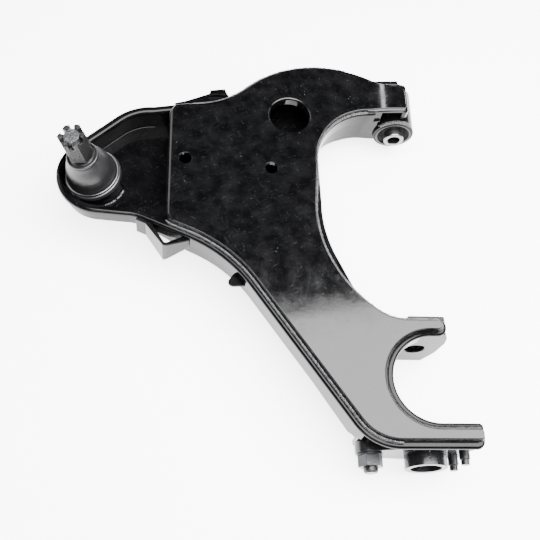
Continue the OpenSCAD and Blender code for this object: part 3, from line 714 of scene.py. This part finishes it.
# Torsion bar anchor: a forged steel flange with a round boss, bolted to a wall plate at the end of
# the rear leg by one large bolt and two small ones. The forging keeps its rough skin under the paint.
paint_forged = finish("forged_paint", (0.003, 0.0031, 0.0035), (0.09, 0.09, 0.095),
                      metallic=0, roughness=0.2, marks=0.9, bump=0.0001, specular=0.3, grain=(420, 1.4))
steel_dark = finish("dark_steel", (0.022, 0.0225, 0.024), (0.2, 0.2, 0.2),
                    metallic=0.85, roughness=0.3, marks=0.9, scale=1.4, bump=0.0002, grain=(700, 1.0))
from_drawing(paint_pan, rear_wall_plate=0.7)
from_drawing(paint_forged, torsion_anchor=1.2)
from_drawing(steel_dark, anchor_bolt=0.5, anchor_nut=0.6, anchor_washer=0.3, small_bolts=0.4, small_washers=0.2)

# Brackets and rib: folded straps and a small tab of steel sheet, welded to the outside of the pan,
# and a flat rib across the inside of the box. All are painted with the arm.
from_drawing(paint_pan, box_rib=0.4, link_bracket=0.7, hose_tab=0.5, stop_bracket=0.7)

# Ball joint: a machined housing pressed into a ring welded in the pan, closed by a cap below. The
# steel stud turns on two plastic seats, pushed together by a spring disc, and carries a castle nut.
housing_steel = finish("machined_housing", (0.05, 0.05, 0.052), (0.2, 0.2, 0.2),
                       metallic=0.8, roughness=0.3, marks=0.8, scale=1.4, bump=0.00005, grain=(700, 1.0))
seat_plastic = finish("seat_plastic", (0.68, 0.66, 0.58), (0.4, 0.38, 0.33),
                      metallic=0, roughness=0.45, marks=0.5, bump=0.00003)
stud_steel = finish("sawn_stud", (0.07, 0.07, 0.072), (0.4, 0.4, 0.4),
                    metallic=0.9, roughness=0.32, marks=1.5, scale=2.6, bump=0.0006, grain=(480, 2.2))
nut_steel = finish("phosphated_nut", (0.018, 0.018, 0.019), (0.3, 0.3, 0.3),
                   metallic=0.8, roughness=0.3, marks=1.5, scale=2.6, bump=0.0006, grain=(420, 2.2))
from_drawing(paint_pan, joint_socket_ring=0.4)
from_drawing(housing_steel, joint_housing=0.5)
from_drawing(paint_forged, joint_end_cap=0.5)
from_drawing(steel_bare, pressure_disc=0.2)
from_drawing(seat_plastic, lower_seat=0.2, upper_seat=0.2)
from_drawing(stud_steel, ball_stud=0.4)
from_drawing(nut_steel, castle_nut=0.6)

# Boot: a moulded rubber cone held by a steel ring at its foot and a stiff lip at the shaft. The real
# boot bends as the stud swings; here it is a lower and an upper band that meet at a seam and stay in place, and only
# the lip rides on the boot collar.
boot_foot, boot_wall = 15.4, 1.4
boot_rows = [(0, 25.5), (0.35, 25.35), (2.0, 25.2), (4.2, 24.9), (7.5, 24.5), (11, 23.9), (15, 23.0), (18, 22.0),
             (21, 20.8), (24, 19.3), (26.5, 17.9), (28.5, 16.9), (30, 16.3), (31, 15.7)]
lip_rows = [(46.4, 9.4), (46.3, 15.2), (46.8, 15.9), (47.6, 16.2), (48.6, 16.1), (49.6, 15.7), (50, 15.1),
            (49.95, 14.6), (49.5, 14.1), (48.4, 13.9), (47.4, 13.6), (47.1, 13.0), (47.1, 10.6), (47.5, 10.1),
            (48.2, 9.9), (48.4, 9.4)]


def spun(section):
    # A closed section of (height, radius) turned about the joint's leaning axis
    work = bmesh.new()
    rows = [[work.verts.new(at_joint(x, y, z)) for x, y in circle(0, 0, r)] for z, r in section]
    close_rings(work, rows)
    return work


def band(low, high):
    # The boot's wall between two of its heights, outside and then back inside
    outside = [(boot_foot + z, r) for z, r in boot_rows if low <= z <= high]
    ends = (0, len(outside) - 1)
    inside = [(z if i in ends else z - 0.4, r - boot_wall) for i, (z, r) in enumerate(outside)]
    return outside + inside[::-1]


lower_band = new_piece("boot_lower_band", spun(band(0, 15)), None, None)
upper_band = new_piece("boot_upper_band", spun(band(15, 31)), None, None)
lip = new_piece("boot_lip", spun(lip_rows), None, None)
boot_rubber = finish("boot_rubber", (0.006, 0.006, 0.0065), (0.05, 0.05, 0.05),
                     metallic=0, roughness=0.36, marks=0.5, bump=0.00005, specular=0.6, grain=(1500, 1.0))
for piece in (lower_band, upper_band, lip):
    even_shading(piece, 50)
coat_with(boot_rubber, lower_band, upper_band, lip)
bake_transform(lower_band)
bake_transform(upper_band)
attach(lip, "boot_collar")
for piece, node in ((lower_band, "dust_boot"), (upper_band, "dust_boot"), (lip, "boot_top_ring")):
    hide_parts(node)
from_drawing(steel_bare, boot_clamp_ring=0.4)
